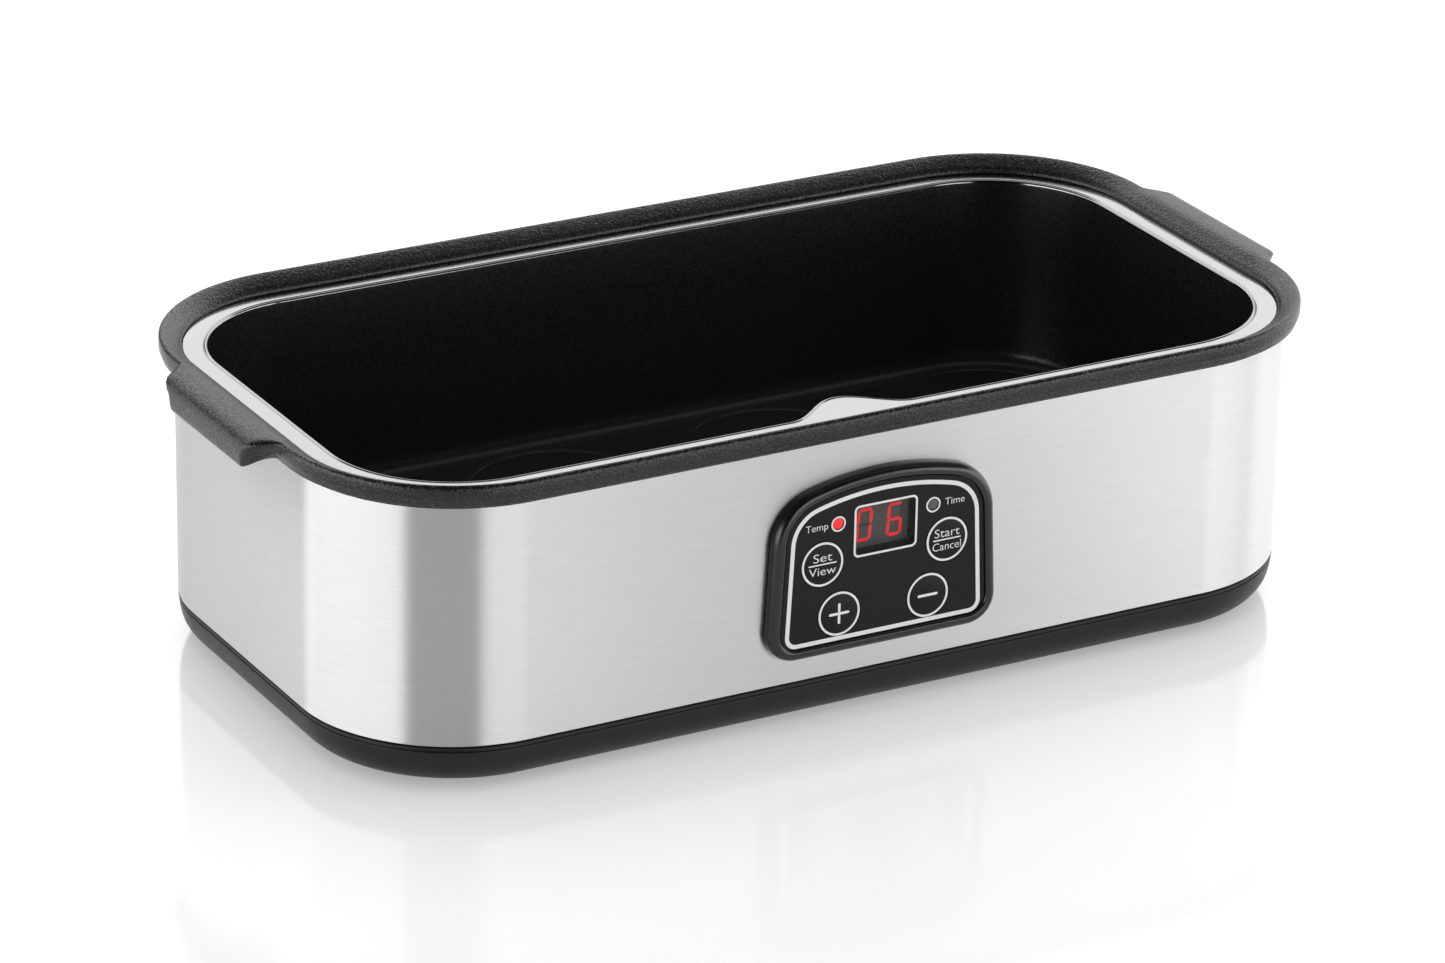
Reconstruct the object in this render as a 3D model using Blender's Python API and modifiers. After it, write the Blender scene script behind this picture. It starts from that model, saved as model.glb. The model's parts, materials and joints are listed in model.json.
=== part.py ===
"""Counter-top jar cooker: a steel-banded base unit with a coated well and a four-key control panel.

Metres, +Z up. The origin is on the table, under the middle of the body. +X runs along the body to the
right, as seen from the front, and the control panel faces -Y.
"""

import math

import bmesh
import bpy
from mathutils import Matrix, Vector

MM = 0.001

# Body. Every outline is the steel band's outline, moved out or in by an offset.
BODY_HALF_X = 165.0 * MM
BODY_HALF_Y = 87.5 * MM
BODY_CORNER_R = 49.0 * MM
CORNER_STEPS = 8

# Heights above the table.
BASE_FLOOR_Z = 4.2 * MM
STEEL_BOTTOM_Z = 15.0 * MM
STEEL_TOP_Z = 92.0 * MM
PAN_FLOOR_Z = 31.9 * MM
STEEL_THICKNESS = 0.6 * MM
GAP = 0.3 * MM

# Inward bulge at the front of the well, which makes room for the tall parts of the control board.
BULGE_X = -4.0 * MM
BULGE_HALF_WIDTH = 21.0 * MM
BULGE_DEPTH = 11.3 * MM
BULGE_STEPS = 12

# Handles on the short ends of the rim. Each is full out to one Y and gone at the next, and is longer at
# its top than at its lower edge.
HANDLE_LOW = (16.0 * MM, 30.0 * MM)
HANDLE_TOP = (24.0 * MM, 34.0 * MM)
HANDLE_LOW_Z = 91.8 * MM
HANDLE_TOP_Z = 97.8 * MM
HANDLE_STEPS = 6

# Jar seats on the floor of the well: two rows of four.
JAR_PITCH = 77.0 * MM
JAR_RING_R = 31.0 * MM
JAR_RING_WIDTH = 1.6 * MM
JAR_RING_HEIGHT = 0.5 * MM

# Control panel. Depths are Y positions, most negative at the front.
PANEL_X = 0.7 * MM
PANEL_LOW_Z = 22.6 * MM
PANEL_HALF_WIDTH = 39.6 * MM
PANEL_LOW_R = 10.0 * MM
PANEL_TOP_HALF_WIDTH = 38.2 * MM
PANEL_TOP_R = 18.0 * MM
PANEL_TOP_R_Z = 59.9 * MM
PANEL_TOP_TURN = math.radians(75)
BEZEL_FRONT_Y = -91.8 * MM
BEZEL_SEAT_Y = -BODY_HALF_Y - GAP
BEZEL_FLOOR_FRONT_Y = -90.2 * MM
BEZEL_FLOOR_BACK_Y = -89.0 * MM
COLLAR_BACK_Y = -82.5 * MM
FASCIA_FRONT_Y = -91.0 * MM
FASCIA_BACK_Y = -90.5 * MM
COLLAR_INSET = 2.5 * MM
POCKET_INSET = 4.2 * MM
FASCIA_INSET = 4.6 * MM

KEY_R = 7.15 * MM
KEY_FLANGE_R = 8.3 * MM
KEYS = {
    "set_view": (-21.3 * MM, 53.0 * MM),
    "start_cancel": (21.3 * MM, 53.0 * MM),
    "plus": (-15.2 * MM, 36.0 * MM),
    "minus": (15.2 * MM, 36.0 * MM),
}
INDICATORS = {"temp": (-16.2 * MM, 65.0 * MM), "time": (16.2 * MM, 65.0 * MM)}
INDICATOR_R = 1.6 * MM
WINDOW_Z = 61.2 * MM
WINDOW_HALF_X = 10.1 * MM
WINDOW_HALF_Z = 7.6 * MM
DISPLAY_FRONT_Y = -87.2 * MM

# Control board and what holds it.
BOARD_FRONT_Y = -80.9 * MM
BOARD_BACK_Y = -79.3 * MM
BOARD_HALF_X = 34.0 * MM
BOARD_LOW_Z = 25.5 * MM
BOARD_HIGH_Z = 74.0 * MM
BOARD_BOSSES = ((-31.0, 30.0), (31.0, 30.0), (-26.0, 68.5), (26.0, 68.5))

# Under the pan.
STANDOFF_X = 110.0 * MM
STANDOFF_Y = 50.0 * MM
FOOT_X = 134.0 * MM
FOOT_Y = 56.0 * MM
SHIELD_Z = 23.2 * MM
SHIELD_THICKNESS = 0.8 * MM
HEATER_R = 2.5 * MM
HEATER_Z = 28.1 * MM
HEATER_HALF_X = 88.0 * MM
HEATER_HALF_Y = 36.0 * MM
HEATER_CORNER_R = 26.0 * MM
HEATER_END_X = 12.0 * MM
STRAP_X = 50.0 * MM
POWER_BOARD_X = 70.0 * MM
POWER_BOARD_HALF = (40.0 * MM, 25.0 * MM)
POWER_BOARD_Z = 8.2 * MM
POWER_BOARD_TOP_Z = 9.8 * MM
GLAND_X = 110.0 * MM
GLAND_Z = 29.0 * MM

for old in list(bpy.data.objects):
    bpy.data.objects.remove(old, do_unlink=True)

PARTS = bpy.data.collections.new("jar_cooker")
CUTTERS = bpy.data.collections.new("cutters")
bpy.context.scene.collection.children.link(PARTS)
bpy.context.scene.collection.children.link(CUTTERS)


def mm(*values):
    """A tuple of millimetres in metres."""
    return tuple(value * MM for value in values)


def mm_list(pairs):
    return [mm(*pair) for pair in pairs]


def make_material(name, colour, roughness, metallic=0.0, alpha=1.0):
    material = bpy.data.materials.new(name)
    material.use_nodes = True
    shader = material.node_tree.nodes["Principled BSDF"]
    shader.inputs["Base Color"].default_value = (*colour, 1.0)
    shader.inputs["Roughness"].default_value = roughness
    shader.inputs["Metallic"].default_value = metallic
    shader.inputs["Alpha"].default_value = alpha
    return material


BLACK_PLASTIC = make_material("black_plastic", (0.03, 0.03, 0.03), 0.6)
GLOSS_PLASTIC = make_material("gloss_black_plastic", (0.01, 0.01, 0.01), 0.2)
STEEL = make_material("brushed_steel", (0.62, 0.61, 0.6), 0.35, 1.0)
COATING = make_material("dark_coating", (0.012, 0.012, 0.013), 0.25)
SMOKED = make_material("smoked_window", (0.05, 0.05, 0.05), 0.1, 0.0, 0.5)
RUBBER = make_material("rubber", (0.02, 0.02, 0.02), 0.9)
LIT_RED = make_material("red_light", (0.9, 0.05, 0.05), 0.4)
GREY_LIGHT = make_material("grey_light", (0.15, 0.15, 0.15), 0.4)
BOARD_GREEN = make_material("circuit_board", (0.03, 0.2, 0.08), 0.5)
ZINC = make_material("zinc_steel", (0.6, 0.6, 0.62), 0.4, 1.0)
ALUMINIUM = make_material("aluminium", (0.75, 0.75, 0.76), 0.4, 1.0)
COMPONENT = make_material("component_case", (0.05, 0.1, 0.25), 0.5)
WIRE_COVER = make_material("wire_cover", (0.6, 0.6, 0.58), 0.6)


def add_object(name, mesh, material=None, smooth=False):
    """Puts a mesh in the scene: as a part when it has a material, else as a hidden cutter."""
    obj = bpy.data.objects.new(name, mesh)
    if smooth:
        mesh.shade_smooth()
        mesh.set_sharp_from_angle(angle=math.radians(35))
    if material:
        mesh.materials.append(material)
        PARTS.objects.link(obj)
    else:
        CUTTERS.objects.link(obj)
        obj.hide_render = True
        obj.display_type = "WIRE"
    return obj


def finish_mesh(name, bm, material=None, smooth=False):
    bmesh.ops.recalc_face_normals(bm, faces=bm.faces)
    mesh = bpy.data.meshes.new(name)
    bm.to_mesh(mesh)
    bm.free()
    return add_object(name, mesh, material, smooth)


def arc(centre, radius, start, end, steps):
    """Points on an arc, both ends included."""
    turns = [start + (end - start) * i / steps for i in range(steps + 1)]
    return [(centre[0] + radius * math.cos(t), centre[1] + radius * math.sin(t)) for t in turns]


def rounded_rectangle(half_x, half_y, radius, steps=CORNER_STEPS, front=(), sides=()):
    """Points round a rectangle from its front right corner; front and sides add X and Y stations."""
    x = half_x - radius
    y = half_y - radius
    quarter = math.pi / 2
    return [
        *arc((x, -y), radius, -quarter, 0, steps),
        *[(half_x, station) for station in sides],
        *arc((x, y), radius, 0, quarter, steps),
        *arc((-x, y), radius, quarter, 2 * quarter, steps),
        *[(-half_x, station) for station in reversed(sides)],
        *arc((-x, -y), radius, 2 * quarter, 3 * quarter, steps),
        *[(station, -half_y) for station in front],
    ]


def body_outline(offset, front=(), sides=()):
    return rounded_rectangle(
        BODY_HALF_X + offset, BODY_HALF_Y + offset, BODY_CORNER_R + offset, CORNER_STEPS, front, sides
    )


def loft(name, loops, material, ring=False):
    """Skins a run of loops with equal counts. A ring closes on itself, else both ends are capped."""
    bm = bmesh.new()
    rings = [[bm.verts.new(point) for point in loop] for loop in loops]
    pairs = list(zip(rings, rings[1:]))
    if ring:
        pairs.append((rings[-1], rings[0]))
    else:
        bm.faces.new(rings[0])
        bm.faces.new(rings[-1])
    for first, second in pairs:
        for i in range(len(first)):
            bm.faces.new((first[i - 1], first[i], second[i], second[i - 1]))
    return finish_mesh(name, bm, material, smooth=True)


def prism(name, outline, axis, low, high, material=None):
    """Extrudes a flat outline along axis, which is the one of x, y and z that the outline leaves out."""
    place = {
        "x": lambda a, b: (low, a, b),
        "y": lambda a, b: (a, low, b),
        "z": lambda a, b: (a, b, low),
    }[axis]
    bm = bmesh.new()
    face = bm.faces.new([bm.verts.new(place(a, b)) for a, b in outline])
    made = bmesh.ops.extrude_face_region(bm, geom=[face])
    moved = [item for item in made["geom"] if isinstance(item, bmesh.types.BMVert)]
    step = Vector(place(0, 0)) * 0
    step["xyz".index(axis)] = high - low
    bmesh.ops.translate(bm, verts=moved, vec=step)
    return finish_mesh(name, bm, material)


def box(name, centre, size, material=None):
    bm = bmesh.new()
    bmesh.ops.create_cube(bm, size=1.0, matrix=Matrix.Translation(centre) @ Matrix.Diagonal((*size, 1.0)))
    return finish_mesh(name, bm, material)


def turned(name, profile, place, axis="z", material=None, steps=20):
    """Turns (radius, height) points round an axis through place. Points run from top to bottom."""
    mesh = bpy.data.meshes.new(name)
    mesh.from_pydata([(r, 0, h) for r, h in profile], [(i, i + 1) for i in range(len(profile) - 1)], [])
    obj = add_object(name, mesh, material)
    obj.location = place
    obj.rotation_euler = {"z": (0, 0, 0), "y": (-math.pi / 2, 0, 0), "x": (0, math.pi / 2, 0)}[axis]
    screw = obj.modifiers.new("turn", "SCREW")
    screw.steps = steps
    screw.render_steps = steps
    screw.use_merge_vertices = True
    screw.merge_threshold = 0.00001
    screw.use_smooth_shade = False
    return obj


def cylinder(name, radius, low, high, place, axis="z", material=None, steps=20):
    """A cylinder from low to high along the axis, measured from place."""
    profile = [(0, high), (radius, high), (radius, low), (0, low)]
    return turned(name, profile, place, axis, material, steps)


def combine(obj, other, operation):
    modifier = obj.modifiers.new(other.name, "BOOLEAN")
    modifier.operation = operation
    modifier.object = other
    modifier.solver = "EXACT"


def cut(obj, *cutters):
    for cutter in cutters:
        combine(obj, cutter, "DIFFERENCE")


def add_on(obj, *extras):
    for extra in extras:
        combine(obj, extra, "UNION")


def smooth_path(points, spacing):
    """Points along a smooth curve through the given points."""
    path = []
    ends = [points[0], *points, points[-1]]
    for before, start, end, after in zip(ends, ends[1:], ends[2:], ends[3:]):
        before, start, end, after = (Vector(p) for p in (before, start, end, after))
        steps = max(2, round((end - start).length / spacing))
        for i in range(steps):
            t = i / steps
            path.append(
                0.5 * (2 * start + (end - before) * t + (2 * before - 5 * start + 4 * end - after) * t**2
                       + (3 * start - before - 3 * end + after) * t**3)
            )
    return [*path, Vector(points[-1])]


def wire(name, points, radius, material, spacing):
    """A round wire through the points."""
    path = smooth_path(points, spacing) if spacing else [Vector(p) for p in points]
    curve = bpy.data.curves.new(name, "CURVE")
    curve.dimensions = "3D"
    curve.bevel_depth = radius
    curve.bevel_resolution = 2
    curve.use_fill_caps = True
    spline = curve.splines.new("POLY")
    spline.points.add(len(path) - 1)
    for point, place in zip(spline.points, path):
        point.co = (*place, 1.0)
    curve.materials.append(material)
    obj = bpy.data.objects.new(name, curve)
    PARTS.objects.link(obj)
    return obj


# ---------------------------------------------------------------- shells


def handle_share(y, z):
    """How much of the handle the rim has at y: 1 along the grip, 0 past it. z is the plain section's."""
    high = (z - HANDLE_LOW_Z) / (HANDLE_TOP_Z - HANDLE_LOW_Z)
    high = min(max(high, 0.0), 1.0)
    full_y, end_y = (low + (top - low) * high for low, top in zip(HANDLE_LOW, HANDLE_TOP))
    t = (end_y - abs(y)) / (end_y - full_y)
    t = min(max(t, 0.0), 1.0)
    return t * t * (3 - 2 * t)


def make_top_rim():
    """A ring of one section all round, which swells into a handle at the middle of each short end.

    Each row is an (offset, z) point of the plain section and the same point of the handle's section.
    """
    section = [
        ((1.2, 90.4), (1.2, 90.0)),
        ((1.3, 91.5), (1.8, 90.2)),
        ((3.5, 91.8), (10.6, 88.2)),
        ((3.9, 92.2), (12.0, 88.4)),
        ((4.2, 93.9), (12.5, 89.4)),
        ((4.65, 94.4), (12.6, 90.4)),
        ((4.65, 97.3), (12.6, 94.6)),
        ((4.35, 98.15), (11.7, 97.0)),
        ((3.8, 98.6), (9.4, 98.2)),
        ((1.8, 97.9), (4.6, 98.6)),
        ((-0.2, 96.75), (0.6, 97.5)),
        ((-1.5, 95.9), (-1.3, 96.0)),
        ((-2.2, 95.0), (-2.2, 95.0)),
        ((-2.4, 92.9), (-2.4, 92.9)),
        ((-8.6, 92.9), (-8.6, 92.9)),
        ((-8.6, 91.2), (-8.6, 91.2)),
        ((-2.4, 91.2), (-2.4, 91.2)),
        ((-2.4, 89.2), (-2.4, 89.2)),
        ((-0.9, 89.2), (-0.9, 89.2)),
        ((-0.9, 92.3), (-0.9, 92.3)),
        ((0.3, 92.3), (0.3, 92.3)),
        ((0.3, 90.4), (0.3, 90.4)),
    ]
    span = HANDLE_TOP[1] - HANDLE_LOW[0]
    ramp = [HANDLE_LOW[0] + span * i / HANDLE_STEPS for i in range(HANDLE_STEPS + 1)]
    sides = [*[-y for y in reversed(ramp)], *ramp]
    loops = []
    for plain, grip in section:
        loop = []
        for x, y in body_outline(plain[0] * MM, sides=sides):
            share = handle_share(y, plain[1] * MM) if abs(x) > BODY_HALF_X - BODY_CORNER_R else 0.0
            reach = (grip[0] - plain[0]) * MM * share
            height = (plain[1] + (grip[1] - plain[1]) * share) * MM
            loop.append((x + math.copysign(reach, x), y, height))
        loops.append(loop)
    return loft("top_rim", loops, BLACK_PLASTIC, ring=True)


def bulge(x):
    """How far the bulge at the front of the well stands in at x."""
    t = abs(x - BULGE_X) / BULGE_HALF_WIDTH
    return BULGE_DEPTH * (1 + math.cos(math.pi * min(t, 1.0))) / 2


def make_inner_pan():
    """The pan's skin: along the top of the flange, down inside, and back up outside, 1 mm away."""
    levels = [
        (-2.7, 94.2), (-9.6, 94.2), (-10.1, 93.9), (-10.3, 93.3), (-13.2, 37.0), (-14.0, 34.2),
        (-15.9, 32.5), (-18.6, 31.9),
    ]
    under = [
        (-18.6, 30.9), (-15.4, 31.5), (-13.1, 33.8), (-12.2, 37.2), (-9.3, 93.0), (-9.1, 93.2), (-2.7, 93.2),
    ]
    stations = [BULGE_X + BULGE_HALF_WIDTH * (2 * i / BULGE_STEPS - 1) for i in range(BULGE_STEPS + 1)]

    def loop_at(offset, z):
        points = body_outline(offset * MM, front=stations)
        inside = offset < levels[0][0]
        return [(x, y + (bulge(x) if inside and y < 0 else 0.0), z * MM) for x, y in points]

    loops = [loop_at(*level) for level in (*levels[::-1], *under[::-1])]
    pan = loft("inner_pan", loops, COATING)
    for row in range(2):
        for column in range(4):
            place = (JAR_PITCH * (column - 1.5), JAR_PITCH * (row - 0.5), PAN_FLOOR_Z)
            inner = JAR_RING_R - JAR_RING_WIDTH
            sunk = -0.4 * MM
            high = JAR_RING_HEIGHT
            profile = [(inner, sunk), (inner, high), (JAR_RING_R, high), (JAR_RING_R, sunk), (inner, sunk)]
            add_on(pan, turned(f"jar_ring_{row}_{column}", profile, place, steps=18))
    return pan


def make_steel_band():
    """A thin wall with an opening for the control panel and a hole for the cord gland."""
    outer = body_outline(0.0)
    inner = body_outline(-STEEL_THICKNESS)
    loops = [
        [(*point, STEEL_BOTTOM_Z) for point in outer],
        [(*point, STEEL_TOP_Z) for point in outer],
        [(*point, STEEL_TOP_Z) for point in inner],
        [(*point, STEEL_BOTTOM_Z) for point in inner],
    ]
    band = loft("steel_band", loops, STEEL, ring=True)
    opening = panel_outline(COLLAR_INSET - GAP)
    cut(
        band,
        prism("panel_opening", opening, "y", -BODY_HALF_Y - 2 * MM, -BODY_HALF_Y + 2 * MM),
        cylinder("gland_hole", 4.9 * MM, -3 * MM, 3 * MM, (GLAND_X, BODY_HALF_Y, GLAND_Z), "y"),
    )
    return band


def corner_places(x, y):
    """The four places at plus and minus x and y, with a word for each."""
    return {
        "front_left": (-x, -y),
        "front_right": (x, -y),
        "rear_left": (-x, y),
        "rear_right": (x, y),
    }


def power_board_posts():
    x, y = (half - 5 * MM for half in POWER_BOARD_HALF)
    return [(POWER_BOARD_X - x, y), (POWER_BOARD_X + x, -y), (POWER_BOARD_X + x, y), (POWER_BOARD_X - x, -y)]


def make_base_tray():
    """A dish with a lip inside the steel, bosses for the screws, posts for the board, and vent slots."""
    levels = mm_list([
        (-7.5, 2.0), (-4.4, 3.0), (-2.2, 5.4), (-0.6, 9.5), (0.0, 13.6), (-0.4, 14.7), (-0.9, 14.7),
        (-0.9, 17.8), (-2.8, 17.8), (-3.4, 9.5), (-5.0, 6.2), (-8.0, 4.2),
    ])
    loops = [[(*point, z) for point in body_outline(offset)] for offset, z in levels]
    tray = loft("base_tray", loops, BLACK_PLASTIC)
    sunk = BASE_FLOOR_Z - 0.5 * MM
    recess = mm_list([(0, 14), (1.7, 14), (1.7, 8), (3.6, 8), (3.6, 0), (0, 0)])
    for word, (x, y) in corner_places(STANDOFF_X, STANDOFF_Y).items():
        add_on(tray, cylinder(f"boss_{word}", 5.2 * MM, sunk, 13.0 * MM, (x, y, 0), steps=12))
        cut(tray, turned(f"screw_recess_{word}", recess, (x, y, 0), steps=12))
    for word, (x, y) in corner_places(FOOT_X, FOOT_Y).items():
        cut(tray, cylinder(f"foot_hole_{word}", 2.8 * MM, 0, 6 * MM, (x, y, 0), steps=10))
    for i, (x, y) in enumerate(power_board_posts()):
        add_on(tray, cylinder(f"board_post_{i}", 3.2 * MM, sunk, POWER_BOARD_Z - GAP, (x, y, 0), steps=10))
        cut(tray, cylinder(f"board_post_hole_{i}", 1.2 * MM, 4.6 * MM, 9 * MM, (x, y, 0), steps=8))
    for i in range(6):
        place = (-30 * MM - 12 * MM * i, 0, 3 * MM)
        cut(tray, box(f"vent_{i}", place, mm(3.0, 40.0, 6.0)))
    return tray


def make_feet_and_screws():
    foot = mm_list([(0, 5.4), (2.2, 5.4), (2.5, 4.8), (2.5, 1.7), (8.0, 1.7), (8.0, 0.6), (7.4, 0), (0, 0)])
    for word, (x, y) in corner_places(FOOT_X, FOOT_Y).items():
        turned(f"foot_{word}", foot, (x, y, 0), material=RUBBER, steps=16)
    screw = mm_list([
        (0, 20.5), (0.8, 20.5), (1.4, 19.6), (1.4, 7.7), (3.1, 7.7), (3.1, 6.4), (2.2, 5.7), (0, 5.7),
    ])
    post = mm_list([
        (0, 30.6), (3.0, 30.6), (3.0, 22.9), (4.5, 22.9), (4.5, 13.3), (1.7, 13.3), (1.7, 21.5), (0, 21.5),
    ])
    for word, (x, y) in corner_places(STANDOFF_X, STANDOFF_Y).items():
        turned(f"base_screw_{word}", screw, (x, y, 0), material=ZINC, steps=10)
        turned(f"pan_standoff_{word}", post, (x, y, 0), material=ZINC, steps=10)


def make_cord_gland():
    """A bushing with a groove that holds the edge of the steel. Heights run outwards along +Y."""
    profile = mm_list([
        (3.6, 3.3), (6.6, 3.3), (7.0, 2.6), (7.0, 0.3), (4.6, 0.3), (4.6, -0.9), (6.0, -0.9), (5.2, -6.5),
        (3.6, -6.5), (3.6, 3.3),
    ])
    turned("cord_gland", profile, (GLAND_X, BODY_HALF_Y, GLAND_Z), "y", BLACK_PLASTIC, steps=16)


# ---------------------------------------------------------------- control panel


def panel_outline(inset):
    """The panel's outline, moved in by inset: flat below, sides that lean in, and an arched top."""
    low_centre = (PANEL_HALF_WIDTH - PANEL_LOW_R, PANEL_LOW_Z + PANEL_LOW_R)
    top_centre = (PANEL_TOP_HALF_WIDTH - PANEL_TOP_R, PANEL_TOP_R_Z)
    meet_x = top_centre[0] + PANEL_TOP_R * math.cos(PANEL_TOP_TURN)
    arch_r = meet_x / math.cos(PANEL_TOP_TURN)
    arch_centre = (0.0, top_centre[1] + (PANEL_TOP_R - arch_r) * math.sin(PANEL_TOP_TURN))
    half = [
        *arc(low_centre, PANEL_LOW_R - inset, -math.pi / 2, 0, 4),
        *arc(top_centre, PANEL_TOP_R - inset, 0, PANEL_TOP_TURN, 5),
        *arc(arch_centre, arch_r - inset, PANEL_TOP_TURN, math.pi / 2, 3)[1:],
    ]
    other = [(-x, z) for x, z in reversed(half[:-1])]
    return [(PANEL_X + x, z) for x, z in (*half, *other)]


def round_hole(name, place, radius, low, high, steps=22):
    x, z = place
    return cylinder(name, radius, low, high, (PANEL_X + x, 0, z), "y", steps=steps)


def window_hole(name, grow, low, high):
    outline = rounded_rectangle(WINDOW_HALF_X + grow, WINDOW_HALF_Z + grow, 1.0 * MM, steps=3)
    return prism(name, [(PANEL_X + x, WINDOW_Z + z) for x, z in outline], "y", low, high)


def cut_panel_holes(obj, name, low, high):
    """Holes for the window, the keys and the indicators."""
    cut(obj, window_hole(f"{name}_window_hole", 0.0, low, high))
    for word, place in KEYS.items():
        cut(obj, round_hole(f"{name}_hole_{word}", place, KEY_R + GAP, low, high))
    for word, place in INDICATORS.items():
        cut(obj, round_hole(f"{name}_hole_{word}", place, INDICATOR_R + GAP, low, high, 14))


def make_bezel():
    """A rounded frame outside the steel, with a collar through it and a floor behind the fascia."""
    bezel = prism("control_bezel", panel_outline(0.0), "y", BEZEL_FRONT_Y, BEZEL_SEAT_Y, GLOSS_PLASTIC)
    edge = bezel.modifiers.new("front_edge", "BEVEL")
    edge.width = 2.2 * MM
    edge.segments = 2
    edge.limit_method = "VGROUP"
    front = bezel.vertex_groups.new(name="front")
    front.add([v.index for v in bezel.data.vertices if v.co.y < BEZEL_FRONT_Y + GAP], 1.0, "ADD")
    edge.vertex_group = "front"
    add_on(bezel, prism("collar", panel_outline(COLLAR_INSET), "y", BEZEL_SEAT_Y - 0.5 * MM, COLLAR_BACK_Y))
    recess = panel_outline(FASCIA_INSET - GAP)
    cut(
        bezel,
        prism("rear_pocket", panel_outline(POCKET_INSET), "y", BEZEL_FLOOR_BACK_Y, COLLAR_BACK_Y + 2 * MM),
        prism("fascia_recess", recess, "y", BEZEL_FRONT_Y - 2 * MM, BEZEL_FLOOR_FRONT_Y),
    )
    sunk = BEZEL_FLOOR_BACK_Y - 0.4 * MM
    boss_end = BOARD_FRONT_Y - GAP
    for i, place in enumerate(BOARD_BOSSES):
        x, z = mm(*place)
        add_on(bezel, round_hole(f"bezel_boss_{i}", (x, z), 2.6 * MM, sunk, boss_end, 10))
        cut(bezel, round_hole(f"bezel_boss_hole_{i}", (x, z), 1.2 * MM, -85.5 * MM, -80.0 * MM, 8))
    cut_panel_holes(bezel, "bezel", BEZEL_FLOOR_FRONT_Y - 1 * MM, BEZEL_FLOOR_BACK_Y + 1 * MM)
    return bezel


def make_fascia_and_window():
    sheet = panel_outline(FASCIA_INSET)
    fascia = prism("control_fascia", sheet, "y", FASCIA_FRONT_Y, FASCIA_BACK_Y, GLOSS_PLASTIC)
    cut_panel_holes(fascia, "fascia", FASCIA_FRONT_Y - 1 * MM, FASCIA_BACK_Y + 1 * MM)
    outline = rounded_rectangle(WINDOW_HALF_X - GAP, WINDOW_HALF_Z - GAP, 0.8 * MM, steps=3)
    outline = [(PANEL_X + x, WINDOW_Z + z) for x, z in outline]
    prism("display_window", outline, "y", FASCIA_FRONT_Y, BEZEL_FLOOR_BACK_Y, SMOKED)


def make_retainer():
    """A frame pushed over the collar from behind, which holds the bezel in the steel."""
    front = -BODY_HALF_Y + STEEL_THICKNESS + GAP
    frame = prism("panel_retainer", panel_outline(-1.5 * MM), "y", front, front + 2.0 * MM, BLACK_PLASTIC)
    hole = panel_outline(COLLAR_INSET - GAP)
    cut(frame, prism("retainer_hole", hole, "y", front - 1 * MM, front + 3 * MM))


def make_keys():
    """Each key is a flat cap with a flange behind the bezel's floor and a stem."""
    front = FASCIA_FRONT_Y
    profile = mm_list([(0, 5.4), (1.8, 5.4), (1.8, 3.0)]) + [
        (KEY_FLANGE_R, 3.0 * MM), (KEY_FLANGE_R, 2.3 * MM), (KEY_R, 2.3 * MM), (KEY_R, 0.0), (0, 0)
    ]
    for word, (x, z) in KEYS.items():
        turned(f"key_{word}", profile, (PANEL_X + x, front, z), "y", GLOSS_PLASTIC, steps=22)


def make_control_board():
    middle_y = (BOARD_FRONT_Y + BOARD_BACK_Y) / 2
    middle_z = (BOARD_LOW_Z + BOARD_HIGH_Z) / 2
    size = (2 * BOARD_HALF_X, BOARD_BACK_Y - BOARD_FRONT_Y, BOARD_HIGH_Z - BOARD_LOW_Z)
    board = box("control_board", (PANEL_X, middle_y, middle_z), size, BOARD_GREEN)
    screw = mm_list([(0, 1.5), (2.2, 1.5), (2.2, 0.3), (0.9, 0.3), (0.9, -5.2), (0, -5.2)])
    for i, place in enumerate(BOARD_BOSSES):
        x, z = mm(*place)
        cut(board, round_hole(f"board_hole_{i}", (x, z), 1.3 * MM, BOARD_FRONT_Y - MM, BOARD_BACK_Y + MM, 8))
        turned(f"board_screw_{i + 1}", screw, (PANEL_X + x, BOARD_BACK_Y, z), "y", ZINC, steps=8)
    for word, (x, z) in KEYS.items():
        case = (PANEL_X + x, BOARD_FRONT_Y - GAP - 1.6 * MM, z)
        switch = box(f"switch_{word}", case, mm(6.0, 3.2, 6.0), COMPONENT)
        plunger = round_hole(f"plunger_{word}", (x, z), 1.7 * MM, -85.0 * MM, -83.0 * MM, 10)
        add_on(switch, plunger)
    light = mm_list([(0, 9.8), (2.4, 9.8), (2.4, 8.6), (1.6, 8.6), (1.6, 0.2), (1.3, 0.0), (0, 0)])
    for word, (x, z) in INDICATORS.items():
        colour = LIT_RED if word == "temp" else GREY_LIGHT
        turned(f"indicator_{word}", light, (PANEL_X + x, FASCIA_FRONT_Y, z), "y", colour, steps=14)
    depth = BOARD_FRONT_Y - GAP - DISPLAY_FRONT_Y
    centre = (PANEL_X, DISPLAY_FRONT_Y + depth / 2, WINDOW_Z)
    box("led_display", centre, (19.8 * MM, depth, 14.4 * MM), GREY_LIGHT)
    behind = BOARD_BACK_Y + GAP
    cylinder("buzzer", 4.8 * MM, 0, 4.5 * MM, (BULGE_X, behind, 62.0 * MM), "y", COMPONENT)
    box("controller_chip", (20 * MM, behind + 0.7 * MM, 50 * MM), mm(10.0, 1.4, 10.0), COMPONENT)


# ---------------------------------------------------------------- under the pan


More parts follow.
